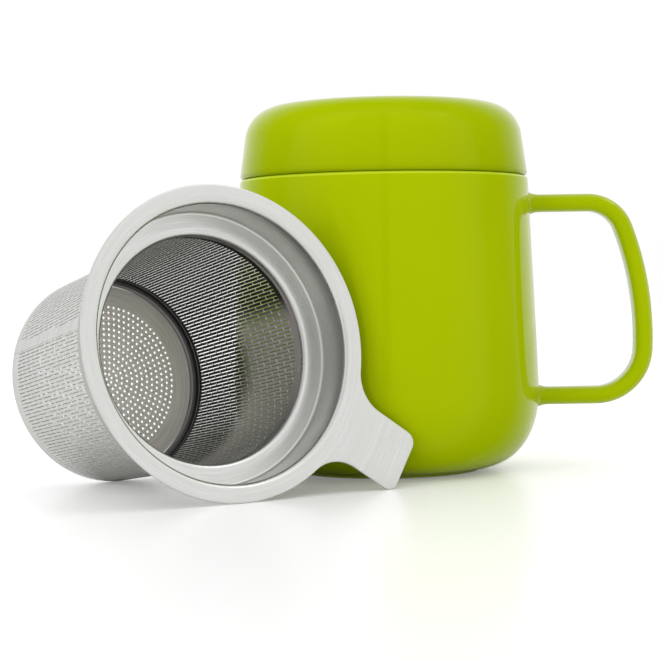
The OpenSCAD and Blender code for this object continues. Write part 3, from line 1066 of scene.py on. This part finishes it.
class TEAMUG_OT_basket_wall(bpy.types.Operator):
    """Cut the wall's slits in a flat sheet, roll it up and lap its seam"""

    bl_idname = "tea_mug.basket_wall"
    bl_label = "Basket Wall"

    def execute(self, context):
        settings = context.scene.tea_mug_basket
        steel = steel_material(
            "Slit Sheet Steel", settings.steel_colour, shade=0.9, spacing=0.0006, streaks=1.5,
            rough=0.33, depth=0.000008, edge_tint=0.8,
            # Inside, the wall is painted dark for its shade, with a painted sheen, painted shade in
            # the corner and a painted highlight line
            tones=[
                ("Inside", settings.inner_shade_colour), ("Painted Sheen", settings.painted_sheen_and_shade_colour),
                ("Corner Shade", settings.corner_shade_colour), ("Painted Highlight Line", settings.painted_sheen_and_shade_colour),
            ],
        )
        cut = steel_material(
            "Cut Edge Steel", settings.cut_colour, shade=0.9, spacing=0.0006, streaks=1.5,
            rough=0.4, depth=0.000004, inner_metal=0.3,
        )
        bm = slit_sheet(settings)
        roll_up(bm, 0, SLIT_SHEET)
        for face in bm.faces:
            place = face.calc_center_median()
            if not -settings.slit_bottom < place.z < -settings.slit_top:
                face.material_index = 0
            elif abs(face.normal.xy @ place.xy.normalized()) < 0.5:
                face.material_index = 1
        bm.transform(basket_placement())
        finished_piece(
            bm, "basket_wall_slit", "infuser", ["infuser_wall"], "wall_steel", steel, cut
        )
        lap = bmesh.new()
        bmesh.ops.create_grid(lap, x_segments=4, y_segments=8, size=0.5)
        width = settings.seam_columns * math.tau / settings.slit_columns
        bmesh.ops.scale(lap, verts=lap.verts, vec=(width, WALL_CORNER - SEAM_TOP, 1))
        bmesh.ops.translate(lap, verts=lap.verts, vec=(0, (WALL_CORNER + SEAM_TOP) / 2, 0))
        roll_up(lap, SEAM_PROUD, SEAM_SHEET)
        lap.transform(basket_placement())
        finished_piece(lap, "basket_wall_seam", "infuser", ["infuser_wall"], "wall_steel", steel)
        return {"FINISHED"}


class TEAMUG_OT_basket_base(bpy.types.Operator):
    """Drill the rings of drain holes in the basket's base"""

    bl_idname = "tea_mug.basket_base"
    bl_label = "Basket Base"

    def execute(self, context):
        settings = context.scene.tea_mug_basket
        base_r = BASE_R - BASE_ROUND - BASE_GAP
        bm = bmesh.new()
        bmesh.ops.create_circle(bm, cap_ends=False, segments=144, radius=base_r * MM)
        for ring in range(HOLE_RINGS + 1):
            count = 6 * ring + 2 if ring else 1
            for i in range(count):
                turned = Matrix.Rotation(math.tau * i / count, 4, "Z")
                place = turned @ Matrix.Translation((ring * HOLE_PITCH * MM, 0, 0))
                bmesh.ops.create_circle(
                    bm, cap_ends=False, segments=12, radius=settings.hole_size / 2, matrix=place
                )
        bmesh.ops.triangle_fill(
            bm, use_beauty=True, use_dissolve=False, edges=bm.edges[:], normal=(0, 0, 1)
        )
        if bm.faces[:][0].normal.z < 0:
            bmesh.ops.reverse_faces(bm, faces=bm.faces)
        thicken(bm, BASE_SHEET)
        rim = [
            e for e in bm.edges
            if min(v.co.xy.length for v in e.verts) > (base_r - 0.05) * MM
            and min(v.co.z for v in e.verts) > -0.1 * MM
        ]
        round_edges(bm, rim, BASE_EDGE)
        bmesh.ops.translate(
            bm, verts=bm.verts, vec=(0, 0, (WALL_SHEET + BASE_PROUD - BASKET_DEPTH) * MM)
        )
        bm.transform(basket_placement())
        steel = steel_material(
            "Drilled Sheet Steel", settings.base_colour, shade=0.85, spacing=0.0005, streaks=2,
            rough=0.42, depth=0.00001, inner_metal=0.0,
            tones=[("Outside", settings.steel_colour)],
        )
        finished_piece(
            bm, "basket_base_drilled", "infuser", ["infuser_base"], "base_steel", steel
        )
        return {"FINISHED"}


# ---- Stage ----


def camera_turn():
    """The camera looks along +Y, a little down, and is rolled a hair."""
    right = Vector((1, 0, 0))
    ahead = Vector((0, math.cos(CAMERA_DOWN), -math.sin(CAMERA_DOWN)))
    up = right.cross(ahead)
    across = math.cos(CAMERA_ROLL) * right + math.sin(CAMERA_ROLL) * up
    upright = math.cos(CAMERA_ROLL) * up - math.sin(CAMERA_ROLL) * right
    return Matrix((across, upright, -ahead)).transposed().to_4x4()


def add_panel(name, place, width, height, power):
    """A soft panel lamp that faces the object."""
    lamp = bpy.data.lights.new(name, "AREA")
    lamp.shape = "RECTANGLE"
    lamp.size, lamp.size_y, lamp.energy = width, height, power
    panel = add_object(name, lamp)
    panel.location = place
    towards = Vector(PANEL_AIM) - Vector(place)
    panel.rotation_euler = towards.to_track_quat("-Z", "Y").to_euler()
    return panel


def studio_world():
    """A white light tent with a dim slot for the camera and a softer wall beside it."""
    world = bpy.data.worlds.new("Light Tent")
    world.use_nodes = True
    tree = world.node_tree
    tree.nodes.clear()
    way = new_node(tree, "ShaderNodeTexCoord").outputs["Generated"]
    parts = new_node(tree, "ShaderNodeSeparateXYZ", {0: way}).outputs
    around = maths(tree, "ARCTAN2", parts["X"], maths(tree, "MULTIPLY", parts["Y"], -1.0))
    off_slot = maths(tree, "ABSOLUTE", maths(tree, "ADD", around, SLOT_OFFSET))
    walls = maths(
        tree, "ADD", soft_spread(tree, around, *DIM_WALL), soft_spread(tree, around, *BRIGHT_WALL)
    )
    tent = maths(tree, "MULTIPLY", walls, soft_spread(tree, off_slot, *CAMERA_SLOT))
    seen = new_node(tree, "ShaderNodeLightPath").outputs["Is Camera Ray"]
    white = new_node(
        tree, "ShaderNodeBackground",
        {"Color": (1, 1, 1, 1), "Strength": maths(tree, "MAXIMUM", tent, seen)},
    )
    new_node(tree, "ShaderNodeOutputWorld", {"Surface": white.outputs[0]})
    bpy.context.scene.world = world


def floor_material(settings):
    """White, slightly glossy table, lifted to white where the camera sees it unshaded."""
    material, tree, _, shader = empty_material("White Table")
    seen = new_node(tree, "ShaderNodeLightPath").outputs["Is Camera Ray"]
    feed(
        shader,
        {
            "Base Color": (*settings.floor_colour, 1),
            "Roughness": 0.28,
            "Specular IOR Level": 0.25,
            "Emission Color": (1, 1, 1, 1),
            "Emission Strength": maths(tree, "MULTIPLY", seen, FLOOR_LIFT),
        },
    )
    return material


class TEAMUG_OT_stage(bpy.types.Operator):
    """Set up the floor, the soft panels, the room and the camera"""

    bl_idname = "tea_mug.stage"
    bl_label = "Stage"

    def execute(self, context):
        settings = context.scene.tea_mug_stage
        bm = bmesh.new()
        bmesh.ops.create_grid(bm, x_segments=1, y_segments=1, size=3.0)
        mesh = mesh_from(bm, "table_top")
        mesh.materials.append(floor_material(settings))
        floor = add_object("table_top", mesh)
        add_panel("Right Panel", (0.56, -0.10, 0.80), 0.5, 0.22, settings.key_power)
        front = add_panel("Front Panel", (-0.50, -1.0, 0.22), 1.0, 0.8, settings.fill_power)
        top = add_panel("Top Panel", (0.05, -0.05, 0.95), 0.8, 0.8, settings.top_power)
        front.visible_glossy = top.visible_glossy = False
        studio_world()
        lens = bpy.data.cameras.new("Camera")
        lens.lens, lens.sensor_width = 100, 36
        lens.clip_start, lens.clip_end = 0.01, 20
        camera = add_object("Camera", lens)
        camera.matrix_world = Matrix.Translation(Vector(CAMERA_PLACE) * MM) @ camera_turn()
        context.scene.camera = camera
        context.scene.view_settings.view_transform = "Standard"
        return {"FINISHED"}


class TEAMUG_PT_panel(bpy.types.Panel):
    """Builds the mug, its lid and its basket from the settings"""

    bl_label = "Tea Mug"
    bl_idname = "TEAMUG_PT_panel"
    bl_space_type = "VIEW_3D"
    bl_region_type = "UI"
    bl_category = "Tea Mug"

    def draw(self, context):
        for settings, steps in (
            (context.scene.tea_mug_finish, (TEAMUG_OT_body, TEAMUG_OT_handle, TEAMUG_OT_lid)),
            (
                context.scene.tea_mug_basket,
                (TEAMUG_OT_basket_rim, TEAMUG_OT_basket_wall, TEAMUG_OT_basket_base),
            ),
            (context.scene.tea_mug_stage, (TEAMUG_OT_stage,)),
        ):
            box = self.layout.box()
            for key in settings.__annotations__:
                box.prop(settings, key)
            for step in steps:
                box.operator(step.bl_idname)


CLASSES = (
    MugSettings, BasketSettings, StageSettings,
    TEAMUG_OT_body, TEAMUG_OT_handle, TEAMUG_OT_lid,
    TEAMUG_OT_basket_rim, TEAMUG_OT_basket_wall, TEAMUG_OT_basket_base,
    TEAMUG_OT_stage, TEAMUG_PT_panel,
)


def register():
    for cls in CLASSES:
        bpy.utils.register_class(cls)
    bpy.types.Scene.tea_mug_finish = bpy.props.PointerProperty(type=MugSettings)
    bpy.types.Scene.tea_mug_basket = bpy.props.PointerProperty(type=BasketSettings)
    bpy.types.Scene.tea_mug_stage = bpy.props.PointerProperty(type=StageSettings)


def unregister():
    del bpy.types.Scene.tea_mug_stage
    del bpy.types.Scene.tea_mug_basket
    del bpy.types.Scene.tea_mug_finish
    for cls in reversed(CLASSES):
        bpy.utils.unregister_class(cls)


def main():
    register()
    bpy.ops.tea_mug.stage()
    bpy.ops.tea_mug.body()
    bpy.ops.tea_mug.handle()
    bpy.ops.tea_mug.lid()
    bpy.ops.tea_mug.basket_rim()
    bpy.ops.tea_mug.basket_wall()
    bpy.ops.tea_mug.basket_base()


if __name__ == "__main__":
    main()
